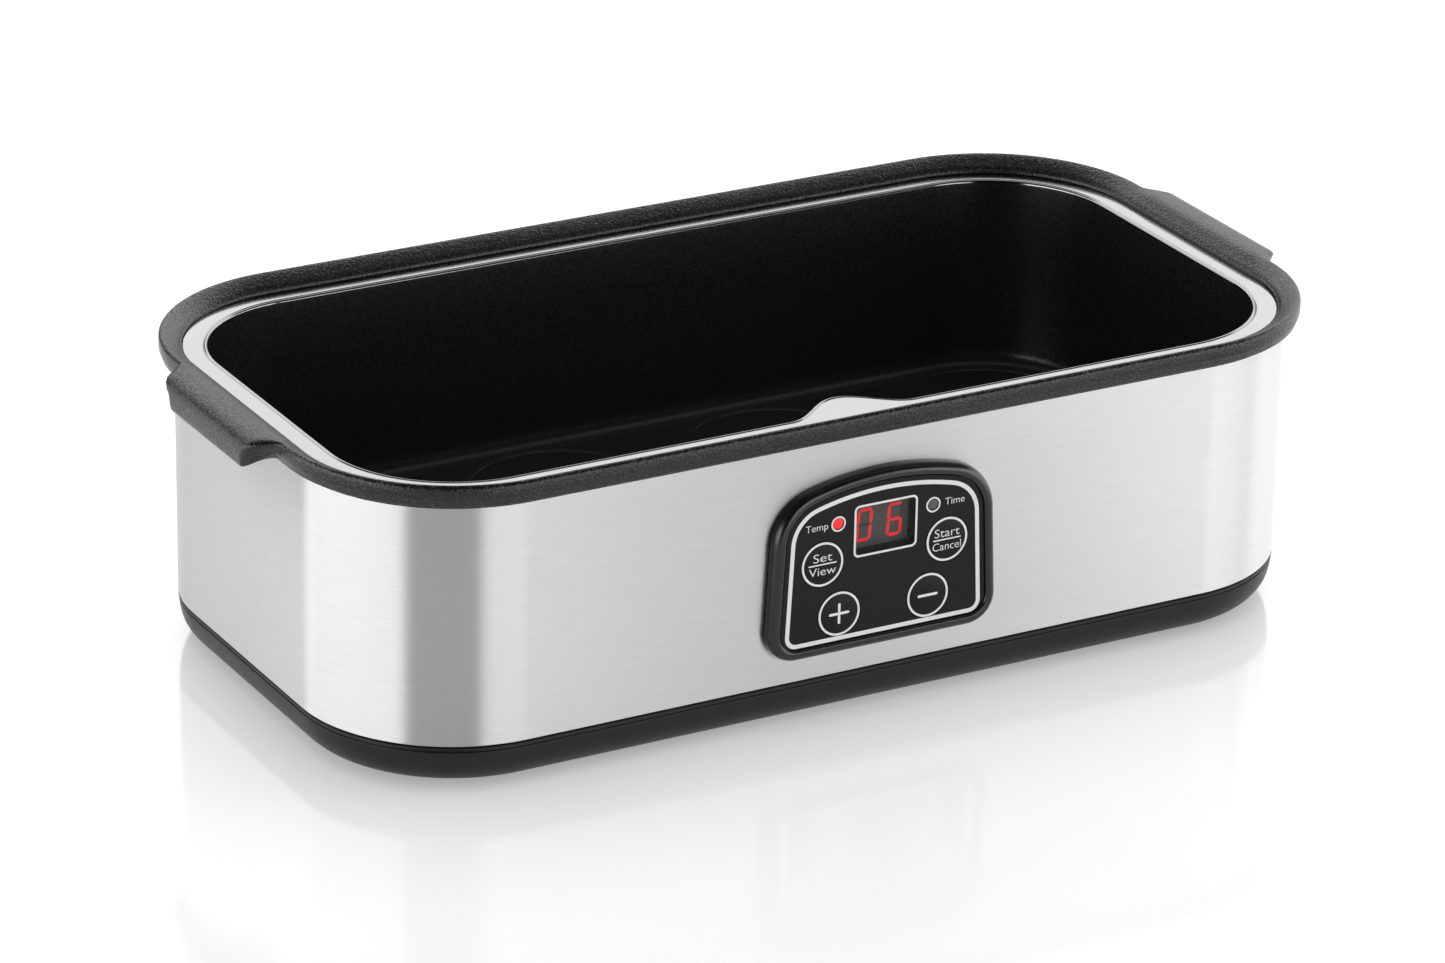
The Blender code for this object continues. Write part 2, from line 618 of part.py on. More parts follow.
def make_heater():
    """A sheathed element that runs round under the pan, with both ends turned down at the front."""
    x = HEATER_HALF_X - HEATER_CORNER_R
    y = HEATER_HALF_Y - HEATER_CORNER_R
    quarter = math.pi / 2
    flat = [
        (HEATER_END_X + 5 * MM, -HEATER_HALF_Y),
        *arc((x, -y), HEATER_CORNER_R, -quarter, 0, 5),
        *arc((x, y), HEATER_CORNER_R, 0, quarter, 5),
        *arc((-x, y), HEATER_CORNER_R, quarter, 2 * quarter, 5),
        *arc((-x, -y), HEATER_CORNER_R, 2 * quarter, 3 * quarter, 5),
        (-HEATER_END_X - 5 * MM, -HEATER_HALF_Y),
    ]
    path = [(*point, HEATER_Z) for point in flat]
    turn = arc((HEATER_END_X + 5 * MM, HEATER_Z - 5 * MM), 5 * MM, quarter, 2 * quarter, 4)[1:]
    end = [(px, -HEATER_HALF_Y, pz) for px, pz in turn] + [(HEATER_END_X, -HEATER_HALF_Y, 20.0 * MM)]
    start = [(-px, py, pz) for px, py, pz in end]
    wire("heating_element", [*reversed(end), *path, *start], HEATER_R, ZINC, None)


def make_straps():
    """Two straps that hold the element up to the pan: a flat middle, two legs and two feet."""
    half = [(0, 24.5), (41.0, 24.5), (41.0, 29.8), (48.0, 29.8), (48.0, 30.6), (40.2, 30.6), (40.2, 25.3)]
    outline = [*mm_list(half), *[(-y, z) for y, z in reversed(mm_list(half[1:]))]]
    for word, x in (("left", -STRAP_X), ("right", STRAP_X)):
        prism(f"heater_strap_{word}", outline, "x", x - 6 * MM, x + 6 * MM, ALUMINIUM)


def make_shield():
    outline = rounded_rectangle(125 * MM, 62 * MM, 20 * MM, steps=5)
    shield = prism("heat_shield", outline, "z", SHIELD_Z, SHIELD_Z + SHIELD_THICKNESS, ALUMINIUM)
    low = SHIELD_Z - 2 * MM
    high = SHIELD_Z + 3 * MM
    for word, (x, y) in corner_places(STANDOFF_X, STANDOFF_Y).items():
        cut(shield, cylinder(f"shield_hole_{word}", 3.3 * MM, low, high, (x, y, 0), steps=10))
    cut(
        shield,
        box("element_slot", (0, -HEATER_HALF_Y, SHIELD_Z), mm(34.0, 10.0, 6.0)),
        cylinder("sensor_hole", 3.0 * MM, low, high, (0, 0, 0), steps=10),
    )


def make_sensor_and_fuse():
    sensor = mm_list([(0, 30.6), (5.0, 30.6), (5.0, 29.6), (3.0, 29.6), (3.0, 25.0), (0, 25.0)])
    turned("temperature_sensor", sensor, (0, 0, 0), material=ALUMINIUM)
    fuse = mm_list([
        (0, 12), (0.5, 12), (0.5, 6.5), (1.4, 6.0), (1.9, 5.0), (1.9, -5.0), (1.4, -6.0), (0.5, -6.5),
        (0.5, -12), (0, -12),
    ])
    turned("thermal_fuse", fuse, mm(24, 16, 28.4), "x", ZINC, steps=10)


def make_power_board():
    middle_z = (POWER_BOARD_Z + POWER_BOARD_TOP_Z) / 2
    thickness = POWER_BOARD_TOP_Z - POWER_BOARD_Z
    size = (2 * POWER_BOARD_HALF[0], 2 * POWER_BOARD_HALF[1], thickness)
    board = box("power_board", (POWER_BOARD_X, 0, middle_z), size, BOARD_GREEN)
    screw = mm_list([(0, 3.1), (2.2, 3.1), (2.2, 1.9), (0.9, 1.9), (0.9, -3.0), (0, -3.0)])
    for i, (x, y) in enumerate(power_board_posts()):
        hole = cylinder(f"power_board_hole_{i}", 1.3 * MM, 6 * MM, 12 * MM, (x, y, 0), steps=8)
        cut(board, hole)
        if i < 2:
            turned(f"power_board_screw_{i + 1}", screw, (x, y, POWER_BOARD_Z), material=ZINC, steps=8)
    cases = {
        "relay": (mm(86, 10), mm(19.0, 15.0, 11.5)),
        "film_capacitor": (mm(62, 14), mm(17.0, 8.0, 11.0)),
        "terminal_block": (mm(42, -9), mm(10.0, 20.0, 9.5)),
    }
    for name, ((x, y), (length, width, height)) in cases.items():
        centre = (x, y, POWER_BOARD_TOP_Z + GAP + height / 2)
        box(name, centre, (length, width, height), COMPONENT)
    cylinder("electrolytic_capacitor", 4.0 * MM, 10.1 * MM, 21.6 * MM, mm(66, -8, 0), material=COMPONENT)


def make_wires():
    """The wires that stay inside: all run over the base's floor to the power board."""
    routes = {
        "heater_lead_left": (1.0, [
            (-12, -36, 19.6), (-11, -35, 14.5), (4, -26, 12), (20, -14, 13), (30, -7, 13.5), (36.4, -5, 14),
        ]),
        "heater_lead_right": (1.0, [
            (12, -36, 19.6), (13, -36, 14.5), (22, -28, 12), (30, -15, 13), (36.4, -12, 13.5),
        ]),
        "sensor_lead": (0.8, [
            (0, 0, 24.6), (0, 0, 19), (6, 4, 13), (20, 8, 12.5), (36, 10, 13), (41, 12, 10.9),
        ]),
        "signal_cable": (1.3, [
            (12, -77.4, 44), (12, -77.3, 32), (13, -76.5, 20), (24, -60, 12), (42, -36, 12), (56, -22, 12),
        ]),
    }
    for name, (radius, points) in routes.items():
        wire(name, mm_list(points), radius * MM, WIRE_COVER, 7 * MM)


make_top_rim()
make_inner_pan()
make_steel_band()
make_base_tray()
make_feet_and_screws()
make_cord_gland()
make_bezel()
make_fascia_and_window()
make_retainer()
make_keys()
make_control_board()
make_heater()
make_straps()
make_shield()
make_sensor_and_fuse()
make_power_board()
make_wires()
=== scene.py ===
"""Looks of the jar cooker: detailed shells, printed panel, procedural materials, studio and camera."""

import json
import math

import bmesh
import bpy
from mathutils import Matrix, Vector


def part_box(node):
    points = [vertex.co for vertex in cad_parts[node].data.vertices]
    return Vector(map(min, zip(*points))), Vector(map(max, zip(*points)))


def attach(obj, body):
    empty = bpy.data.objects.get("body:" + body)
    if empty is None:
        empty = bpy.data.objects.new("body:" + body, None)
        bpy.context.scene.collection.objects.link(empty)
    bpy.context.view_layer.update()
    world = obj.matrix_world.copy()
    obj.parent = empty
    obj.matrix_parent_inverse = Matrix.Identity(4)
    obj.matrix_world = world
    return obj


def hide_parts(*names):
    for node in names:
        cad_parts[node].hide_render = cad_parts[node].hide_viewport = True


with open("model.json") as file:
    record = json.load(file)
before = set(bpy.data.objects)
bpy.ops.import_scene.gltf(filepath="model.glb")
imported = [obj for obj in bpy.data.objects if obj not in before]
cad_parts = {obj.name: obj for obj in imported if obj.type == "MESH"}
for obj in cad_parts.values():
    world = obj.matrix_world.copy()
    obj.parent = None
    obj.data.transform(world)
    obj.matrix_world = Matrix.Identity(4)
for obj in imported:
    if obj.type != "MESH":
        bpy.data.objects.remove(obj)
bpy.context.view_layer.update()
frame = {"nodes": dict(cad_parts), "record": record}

MM = 0.001
QUARTER = math.pi / 2
BODY = "housing"

# The body's outline is the steel band's. Every other outline is that one, moved out or in by an offset.
STEEL_LOW, STEEL_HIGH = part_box("steel_band")
BODY_CORNER_R = 49.0 * MM
CORNER_STEPS = 24

# Bulge at the front of the well.
BULGE_X = -4.0 * MM
BULGE_HALF_WIDTH = 21.0 * MM
BULGE_DEPTH = 11.3 * MM
BULGE_STEPS = 36

# Handles. Each is full out to one Y and gone at the next, and is longer at its top than at its lower edge.
HANDLE_LOW = (21.0, 31.0)
HANDLE_TOP = (28.0, 36.0)
HANDLE_LOW_Z = 91.8
HANDLE_TOP_Z = 97.8
HANDLE_STEPS = 18

# Jar seats.
JAR_PITCH = 77.0 * MM
JAR_RING_R = 31.0 * MM

# Vent slots in the base's underside, in mm.
VENTS = 6
VENT_X = -30
VENT_PITCH = -12

# Control panel, from the solids it replaces.
BEZEL_LOW, BEZEL_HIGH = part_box("control_bezel")
FASCIA_LOW, FASCIA_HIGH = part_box("control_fascia")
WINDOW_LOW, WINDOW_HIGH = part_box("display_window")
DISPLAY_LOW, DISPLAY_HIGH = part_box("led_display")
PANEL_X = (BEZEL_LOW.x + BEZEL_HIGH.x) / 2
PANEL_HALF_WIDTH = (BEZEL_HIGH.x - BEZEL_LOW.x) / 2
PANEL_LOW_Z = BEZEL_LOW.z
PANEL_LOW_R = 10.0 * MM
PANEL_TOP_HALF_WIDTH = 38.2 * MM
PANEL_TOP_R = 18.0 * MM
PANEL_TOP_R_Z = 59.9 * MM
PANEL_TOP_TURN = math.radians(75)
FASCIA_INSET = 4.6 * MM
BORDER_INSET = 6.1 * MM
BORDER_WIDTH = 1.35 * MM
BORDER_DROP = 1.25 * MM
RING_WIDTH = 0.7 * MM
INK_THICKNESS = 0.03 * MM
KEYS = ("set_view", "start_cancel", "plus", "minus")
INDICATORS = ("temp", "time")


def mm(*values):
    return tuple(value * MM for value in values)


# ---------------------------------------------------------------- materials


class Nodes:
    """A short way to build a Principled material and the textures that feed it."""

    def __init__(self, name, colour, roughness, metallic=0.0, **sockets):
        self.material = bpy.data.materials.new(name)
        self.material.use_nodes = True
        self.tree = self.material.node_tree
        self.shader = self.tree.nodes["Principled BSDF"]
        self.shader.inputs["Base Color"].default_value = (*colour, 1.0)
        self.shader.inputs["Roughness"].default_value = roughness
        self.shader.inputs["Metallic"].default_value = metallic
        for socket, value in sockets.items():
            self.shader.inputs[socket.replace("_", " ")].default_value = value
        self.place = self.tree.nodes.new("ShaderNodeTexCoord").outputs["Object"]

    def stretched(self, scale):
        """Object coordinates with their own scale on each axis."""
        mapping = self.tree.nodes.new("ShaderNodeMapping")
        mapping.inputs["Scale"].default_value = scale
        self.tree.links.new(self.place, mapping.inputs["Vector"])
        return mapping.outputs["Vector"]

    def noise(self, scale, detail=2.0, vector=None):
        node = self.tree.nodes.new("ShaderNodeTexNoise")
        node.inputs["Scale"].default_value = scale
        node.inputs["Detail"].default_value = detail
        self.tree.links.new(vector or self.place, node.inputs["Vector"])
        return node.outputs["Fac"]

    def remap(self, value, low, high, start=0.3, end=0.7):
        """Spreads a noise value between start and end over low to high."""
        node = self.tree.nodes.new("ShaderNodeMapRange")
        node.inputs["From Min"].default_value = start
        node.inputs["From Max"].default_value = end
        node.inputs["To Min"].default_value = low
        node.inputs["To Max"].default_value = high
        self.tree.links.new(value, node.inputs["Value"])
        return node.outputs["Result"]

    def colours(self, value, dark, light, start=0.35, end=0.65):
        ramp = self.tree.nodes.new("ShaderNodeValToRGB")
        ramp.color_ramp.elements[0].position = start
        ramp.color_ramp.elements[0].color = (*dark, 1.0)
        ramp.color_ramp.elements[1].position = end
        ramp.color_ramp.elements[1].color = (*light, 1.0)
        self.tree.links.new(value, ramp.inputs["Fac"])
        self.tree.links.new(ramp.outputs["Color"], self.shader.inputs["Base Color"])

    def roughness(self, value, low, high, start=0.3, end=0.7):
        self.tree.links.new(self.remap(value, low, high, start, end), self.shader.inputs["Roughness"])

    def bump(self, *layers):
        """Adds bumps from (height, distance, strength) layers."""
        normal = None
        for height, distance, strength in layers:
            node = self.tree.nodes.new("ShaderNodeBump")
            node.inputs["Distance"].default_value = distance
            node.inputs["Strength"].default_value = strength
            self.tree.links.new(height, node.inputs["Height"])
            if normal:
                self.tree.links.new(normal, node.inputs["Normal"])
            normal = node.outputs["Normal"]
        self.tree.links.new(normal, self.shader.inputs["Normal"])

    def tangent_round_z(self):
        node = self.tree.nodes.new("ShaderNodeTangent")
        node.direction_type = "RADIAL"
        node.axis = "Z"
        self.tree.links.new(node.outputs["Tangent"], self.shader.inputs["Tangent"])


def textured_plastic():
    """Sand-blasted black plastic: a coarse grain in its bumps and roughness, with painted sparkle where its
    tips are coloured lighter.
    """
    m = Nodes("textured_black_plastic", (0.006, 0.006, 0.006), 0.28, Specular_IOR_Level=0.42)
    grain = m.noise(1500, 1)
    # Painted sparkle: the grain's tips are coloured far lighter than its hollows, as if catching the light.
    m.colours(grain, (0.002, 0.002, 0.002), (0.026, 0.026, 0.0255), 0.5, 0.68)
    m.roughness(grain, 0.36, 0.22)
    m.bump((grain, 0.0006, 0.4))
    return m.material


def satin_plastic(name, colour, roughness, grain=0.25, level=0.5):
    """Moulded satin plastic with a fine sparkle texture."""
    m = Nodes(name, colour, roughness, Specular_IOR_Level=level)
    fine = m.noise(3200, 2)
    m.colours(fine, tuple(0.85 * c for c in colour), tuple(1.2 * c for c in colour))
    m.roughness(m.noise(600, 3), roughness * 0.9, roughness * 1.1)
    m.bump((fine, 0.00008, grain), (m.noise(500), 0.0001, 0.05))
    return m.material


def gloss_plastic():
    m = Nodes("gloss_black_plastic", (0.005, 0.005, 0.005), 0.2, Specular_IOR_Level=0.5)
    smears = m.noise(500, 4)
    m.colours(smears, (0.004, 0.004, 0.004), (0.007, 0.007, 0.007))
    m.roughness(smears, 0.17, 0.24)
    m.bump((m.noise(700), 0.00003, 0.06))
    return m.material


def brushed_steel():
    """Steel brushed along its length: fine streaks run round the band and light spreads up and down."""
    m = Nodes("brushed_steel", (0.62, 0.61, 0.6), 0.34, 1.0, Anisotropic=1.0, Anisotropic_Rotation=0.25)
    m.tangent_round_z()
    fine = m.noise(1.0, 3, m.stretched((90, 90, 3600)))
    m.colours(fine, (0.595, 0.585, 0.575), (0.65, 0.64, 0.63), 0.3, 0.7)
    m.roughness(fine, 0.32, 0.36)
    m.bump((fine, 0.00001, 0.12))
    return m.material


def pan_coating():
    """Semi-gloss dark non-stick coating with a faint orange peel."""
    m = Nodes("pan_coating", (0.008, 0.008, 0.0085), 0.27, Specular_IOR_Level=0.42)
    peel = m.noise(900, 3)
    m.colours(peel, (0.007, 0.007, 0.0075), (0.0095, 0.0095, 0.01))
    m.roughness(peel, 0.25, 0.3)
    m.bump((peel, 0.00003, 0.12))
    return m.material


def satin_aluminium(name="satin_aluminium", roughness=0.36, relief=0.3, shade=1.0):
    """Bare metal with fine lines that run round it."""
    m = Nodes(name, (0.72 * shade, 0.71 * shade, 0.7 * shade), roughness, 1.0)
    lines = m.noise(1.0, 3, m.stretched((1800, 1800, 900)))
    dark = tuple(shade * c for c in (0.68, 0.67, 0.66))
    light = tuple(shade * c for c in (0.78, 0.77, 0.76))
    m.colours(lines, dark, light)
    m.roughness(lines, roughness * 0.9, roughness * 1.1)
    m.bump((lines, 0.00003, relief))
    return m.material


def fascia_film():
    m = Nodes("fascia_film", (0.005, 0.005, 0.005), 0.4, Specular_IOR_Level=0.2)
    grain = m.noise(4200, 2)
    m.colours(grain, (0.004, 0.004, 0.004), (0.006, 0.006, 0.006))
    m.roughness(grain, 0.42, 0.48)
    m.bump((grain, 0.00004, 0.2))
    return m.material


def white_ink():
    m = Nodes("white_ink", (0.88, 0.88, 0.87), 0.5)
    edge = m.noise(2600, 2)
    m.colours(edge, (0.8, 0.8, 0.79), (0.92, 0.92, 0.91))
    m.roughness(edge, 0.45, 0.6)
    return m.material


def smoked_window():
    m = Nodes("smoked_window", (0.02, 0.02, 0.02), 0.12, Alpha=0.17)
    m.roughness(m.noise(900, 3), 0.1, 0.14)
    return m.material


def glowing(name, colour, strength):
    """A lit plastic surface, a little brighter in patches where the light sits."""
    m = Nodes(name, tuple(0.5 * c for c in colour), 0.35, Emission_Strength=strength)
    ramp = m.tree.nodes.new("ShaderNodeValToRGB")
    ramp.color_ramp.elements[0].color = (*(0.75 * c for c in colour), 1.0)
    ramp.color_ramp.elements[1].color = (*colour, 1.0)
    m.tree.links.new(m.noise(700), ramp.inputs["Fac"])
    m.tree.links.new(ramp.outputs["Color"], m.shader.inputs["Emission Color"])
    return m.material


def circuit_board():
    m = Nodes("circuit_board", (0.02, 0.16, 0.06), 0.35)
    m.colours(m.noise(600, 2), (0.015, 0.11, 0.04), (0.03, 0.22, 0.09), 0.45, 0.55)
    m.bump((m.noise(600, 2), 0.00004, 0.3))
    return m.material


RIM = textured_plastic()
BASE = satin_plastic("base_black_plastic", (0.009, 0.009, 0.009), 0.4, level=0.3)
RUBBER = satin_plastic("foot_rubber", (0.022, 0.022, 0.022), 0.8, 0.5)
GLOSS = gloss_plastic()
STEEL = brushed_steel()
COATING = pan_coating()
BARE = satin_aluminium()
POLISHED = satin_aluminium("polished_flange", 0.09, 0.0, 0.3)
FILM = fascia_film()
INK = white_ink()
WINDOW = smoked_window()
DISPLAY = satin_plastic("display_grey", (0.13, 0.13, 0.13), 0.5)
UNLIT = satin_plastic("unlit_segment", (0.08, 0.08, 0.08), 0.45)
LIT = glowing("lit_segment", (1.0, 0.015, 0.015), 0.85)
LIT_LAMP = glowing("lit_lamp", (1.0, 0.012, 0.015), 0.75)
ZINC = satin_aluminium("zinc_plated_steel", 0.3)
BOARD = circuit_board()
CASE = satin_plastic("component_case", (0.04, 0.08, 0.2), 0.45)
SILICONE = satin_plastic("wire_cover", (0.55, 0.55, 0.53), 0.6)

SLOT_MATERIALS = {
    "textured_black_plastic": RIM,
    "base_black_plastic": BASE,
    "brushed_steel": STEEL,
    "pan_coating": COATING,
    "gloss_black_plastic": GLOSS,
    "printed_fascia": FILM,
    "smoked_window": WINDOW,
    "display_grey": DISPLAY,
    "red_indicator": LIT_LAMP,
    "grey_indicator": UNLIT,
    "foot_rubber": RUBBER,
    "zinc_plated_steel": ZINC,
    "bare_aluminium": BARE,
    "circuit_board": BOARD,
    "component_case": CASE,
    "wire_cover": SILICONE,
}
for row in frame["record"]["subparts"]:
    node = frame["nodes"][row["node"]]
    node.data.materials.clear()
    node.data.materials.append(SLOT_MATERIALS[row["material_slot"]])


# ---------------------------------------------------------------- mesh helpers


def arc(centre, radius, start, end, steps):
    turns = [start + (end - start) * i / steps for i in range(steps + 1)]
    return [(centre[0] + radius * math.cos(t), centre[1] + radius * math.sin(t)) for t in turns]


def rounded_rectangle(half_x, half_y, radius, steps=CORNER_STEPS, front=(), sides=()):
    """Points round a rectangle from its front right corner; front and sides add X and Y stations."""
    x = half_x - radius
    y = half_y - radius
    return [
        *arc((x, -y), radius, -QUARTER, 0, steps),
        *[(half_x, station) for station in sides],
        *arc((x, y), radius, 0, QUARTER, steps),
        *arc((-x, y), radius, QUARTER, 2 * QUARTER, steps),
        *[(-half_x, station) for station in reversed(sides)],
        *arc((-x, -y), radius, 2 * QUARTER, 3 * QUARTER, steps),
        *[(station, -half_y) for station in front],
    ]


def body_outline(offset, front=(), sides=()):
    half_x = STEEL_HIGH.x + offset
    half_y = STEEL_HIGH.y + offset
    return rounded_rectangle(half_x, half_y, BODY_CORNER_R + offset, CORNER_STEPS, front, sides)


def link(name, mesh, material, smooth_angle=35):
    obj = bpy.data.objects.new(name, mesh)
    bpy.context.scene.collection.objects.link(obj)
    if smooth_angle:
        mesh.shade_smooth()
        mesh.set_sharp_from_angle(angle=math.radians(smooth_angle))
    if material:
        mesh.materials.append(material)
    return obj


def from_bmesh(name, bm, material, smooth_angle=35):
    bmesh.ops.recalc_face_normals(bm, faces=bm.faces)
    mesh = bpy.data.meshes.new(name)
    bm.to_mesh(mesh)
    bm.free()
    return link(name, mesh, material, smooth_angle)


def loft(name, loops, material, ring=False, smooth_angle=35):
    """Skins a run of loops with equal counts. A ring closes on itself, else both ends are capped."""
    bm = bmesh.new()
    rings = [[bm.verts.new(point) for point in loop] for loop in loops]
    pairs = list(zip(rings, rings[1:]))
    if ring:
        pairs.append((rings[-1], rings[0]))
    else:
        bm.faces.new(rings[0])
        bm.faces.new(rings[-1])
    for first, second in pairs:
        for i in range(len(first)):
            bm.faces.new((first[i - 1], first[i], second[i], second[i - 1]))
    return from_bmesh(name, bm, material, smooth_angle)


def plate(name, outline, front, back, material, smooth_angle=35):
    """A flat piece of the panel, from an (x, z) outline, between two depths."""
    loops = [[(x, front, z) for x, z in outline], [(x, back, z) for x, z in outline]]
    return loft(name, loops, material, smooth_angle=smooth_angle)


def turned(name, profile, place, axis, material, steps=64):
    """Turns (radius, height) points round the z or y axis. The profile starts and ends on it, or closes."""
    closed = profile[0] == profile[-1]
    points = profile[:-1] if closed else profile
    bm = bmesh.new()
    rings = []
    for radius, height in points:
        if radius == 0:
            rings.append([bm.verts.new((0, 0, height))])
            continue
        turns = [2 * math.pi * i / steps for i in range(steps)]
        rings.append([bm.verts.new((radius * math.cos(t), radius * math.sin(t), height)) for t in turns])
    pairs = list(zip(rings, rings[1:]))
    if closed:
        pairs.append((rings[-1], rings[0]))
    for first, second in pairs:
        for i in range(steps):
            a = [first[i - 1], first[i]] if len(first) > 1 else [first[0]]
            b = [second[i], second[i - 1]] if len(second) > 1 else [second[0]]
            bm.faces.new([*a, *b])
    turn = Matrix.Rotation(-QUARTER, 4, "X") if axis == "y" else Matrix()
    bmesh.ops.transform(bm, matrix=Matrix.Translation(place) @ turn, verts=bm.verts)
    return from_bmesh(name, bm, material)


def cut(obj, *cutters):
    """Cuts the shapes of the cutters out of obj, and removes the cutters."""
    for cutter in cutters:
        modifier = obj.modifiers.new("cut", "BOOLEAN")
        modifier.operation = "DIFFERENCE"
        modifier.object = cutter
        modifier.solver = "EXACT"
    apply_modifiers(obj)
    for cutter in cutters:
        bpy.data.objects.remove(cutter)
    obj.data.shade_smooth()
    obj.data.set_sharp_from_angle(angle=math.radians(35))


def apply_modifiers(obj):
    graph = bpy.context.evaluated_depsgraph_get()
    mesh = bpy.data.meshes.new_from_object(obj.evaluated_get(graph))
    obj.modifiers.clear()
    obj.data = mesh


def put(obj, body, slot, *nodes):
    """Rides the piece on a body and stands it in for CAD nodes. slot is not used."""
    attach(obj, body)
    if nodes:
        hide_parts(*nodes)
    return obj


# ---------------------------------------------------------------- shells


def handle_share(y, z):
    """The handle's share at y: 1 along the grip, 0 past it. z is the plain section's, in mm."""
    high = (z - HANDLE_LOW_Z) / (HANDLE_TOP_Z - HANDLE_LOW_Z)
    high = min(max(high, 0.0), 1.0)
    full_y, end_y = (low + (top - low) * high for low, top in zip(HANDLE_LOW, HANDLE_TOP))
    t = (end_y - abs(y) / MM) / (end_y - full_y)
    t = min(max(t, 0.0), 1.0)
    return t * t * (3 - 2 * t)


def make_rim():
    """The rim's section all round, swelling into the handles. Rows: plain (offset, z), handle (offset, z)."""
    section = [
        ((0.3, 90.4), (0.3, 90.4)),
        ((1.2, 90.4), (1.2, 90.0)),
        ((1.3, 91.5), (2.5, 90.0)),
        ((3.5, 91.8), (8.5, 89.0)),
        ((3.85, 92.1), (11.2, 88.3)),
        ((4.1, 93.6), (11.8, 88.3)),
        ((4.25, 93.9), (12.0, 88.4)),
        ((4.55, 94.1), (12.4, 88.9)),
        ((4.65, 94.5), (12.6, 90.2)),
        ((4.65, 96.4), (12.6, 94.4)),
        ((4.63, 97.4), (12.3, 95.9)),
        ((4.5, 97.9), (11.6, 97.0)),
        ((4.2, 98.3), (10.2, 97.9)),
        ((3.8, 98.6), (8.2, 98.5)),
        ((3.3, 98.5), (5.2, 98.75)),
        ((2.6, 98.2), (3.4, 98.7)),
        ((1.8, 97.9), (1.8, 98.35)),
        ((0.7, 97.3), (0.7, 97.6)),
        ((-0.3, 96.7), (-0.3, 96.75)),
        ((-1.0, 96.3), (-1.0, 96.3)),
        ((-1.5, 95.9), (-1.5, 95.9)),
        ((-1.9, 95.4), (-1.9, 95.4)),
        ((-2.15, 95.05), (-2.15, 95.05)),
        ((-2.3, 95.0), (-2.3, 95.0)),
        ((-2.4, 94.85), (-2.4, 94.85)),
        ((-2.4, 92.9), (-2.4, 92.9)),
        ((-8.6, 92.9), (-8.6, 92.9)),
        ((-8.6, 91.2), (-8.6, 91.2)),
        ((-0.9, 91.2), (-0.9, 91.2)),
        ((-0.9, 92.3), (-0.9, 92.3)),
        ((0.3, 92.3), (0.3, 92.3)),
    ]
    low_y = HANDLE_LOW[0] * MM
    span = HANDLE_TOP[1] * MM - low_y
    ramp = [low_y + span * i / HANDLE_STEPS for i in range(HANDLE_STEPS + 1)]
    sides = [*[-y for y in reversed(ramp)], *ramp]
    loops = []
    for plain, grip in section:
        loop = []
        for x, y in body_outline(plain[0] * MM, sides=sides):
            share = handle_share(y, plain[1]) if abs(x) > STEEL_HIGH.x - BODY_CORNER_R else 0.0
            reach = (grip[0] - plain[0]) * MM * share
            height = (plain[1] + (grip[1] - plain[1]) * share) * MM
            loop.append((x + math.copysign(reach, x), y, height))
        loops.append(loop)
    rim = loft("rim_shell", loops, RIM, ring=True, smooth_angle=50)
    return put(rim, BODY, "textured_black_plastic", "top_rim")


def bulge(x):
    t = abs(x - BULGE_X) / BULGE_HALF_WIDTH
    return BULGE_DEPTH * (1 + math.cos(math.pi * min(t, 1.0))) / 2


def make_pan():
    """Flange with its bead, then the coated well. The skin runs from the floor up and back down outside."""
    bare = [
        (-2.7, 94.05), (-2.8, 94.05), (-8.3, 94.2), (-8.5, 94.2), (-8.8, 94.1), (-9.0, 93.95), (-9.2, 94.1),
        (-9.45, 94.25), (-9.75, 94.2), (-9.98, 94.0), (-10.1, 93.7),
    ]
    coated = [
        (-10.15, 93.3), (-10.35, 92.0), (-11.2, 75.0), (-12.2, 56.0), (-13.15, 38.0), (-13.3, 36.4),
        (-13.7, 34.9), (-14.4, 33.6), (-15.4, 32.6), (-16.6, 32.1), (-18.0, 31.9),
    ]
    under = [
        (-18.0, 30.9), (-15.4, 31.5), (-13.1, 33.8), (-12.2, 37.2), (-9.3, 93.0), (-9.1, 93.2), (-2.7, 93.2),
    ]
    stations = [BULGE_X + BULGE_HALF_WIDTH * (2 * i / BULGE_STEPS - 1) for i in range(BULGE_STEPS + 1)]

    def loop_at(offset, z):
        points = body_outline(offset * MM, front=stations)
        inside = offset < bare[0][0]
        return [(x, y + (bulge(x) if inside and y < 0 else 0.0), z * MM) for x, y in points]

    loops = [loop_at(*level) for level in (*coated[::-1], *bare[::-1], *under[::-1])]
    pan = loft("pan_shell", loops, COATING, smooth_angle=50)
    pan.data.materials.append(POLISHED)
    flange_low = 93.1 * MM
    for face in pan.data.polygons:
        if min(pan.data.vertices[v].co.z for v in face.vertices) > flange_low:
            face.material_index = 1
    put(pan, BODY, "pan_coating", "inner_pan")
    floor_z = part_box("inner_pan")[0].z + 1.0 * MM
    bead = [(1.5, -0.05), (1.2, 0.28), (0.75, 0.42), (0.3, 0.28), (0.0, 0.12), (-0.3, 0.28), (-0.75, 0.42),
            (-1.2, 0.28), (-1.5, -0.05), (0, -0.3), (1.5, -0.05)]
    for row in range(2):
        for column in range(4):
            place = (JAR_PITCH * (column - 1.5), JAR_PITCH * (row - 0.5), floor_z)
            profile = [(JAR_RING_R + r * MM, h * MM) for r, h in bead]
            seat = turned(f"jar_seat_{row + 1}{column + 1}", profile, place, "z", COATING, 96)
            put(seat, BODY, "pan_coating")


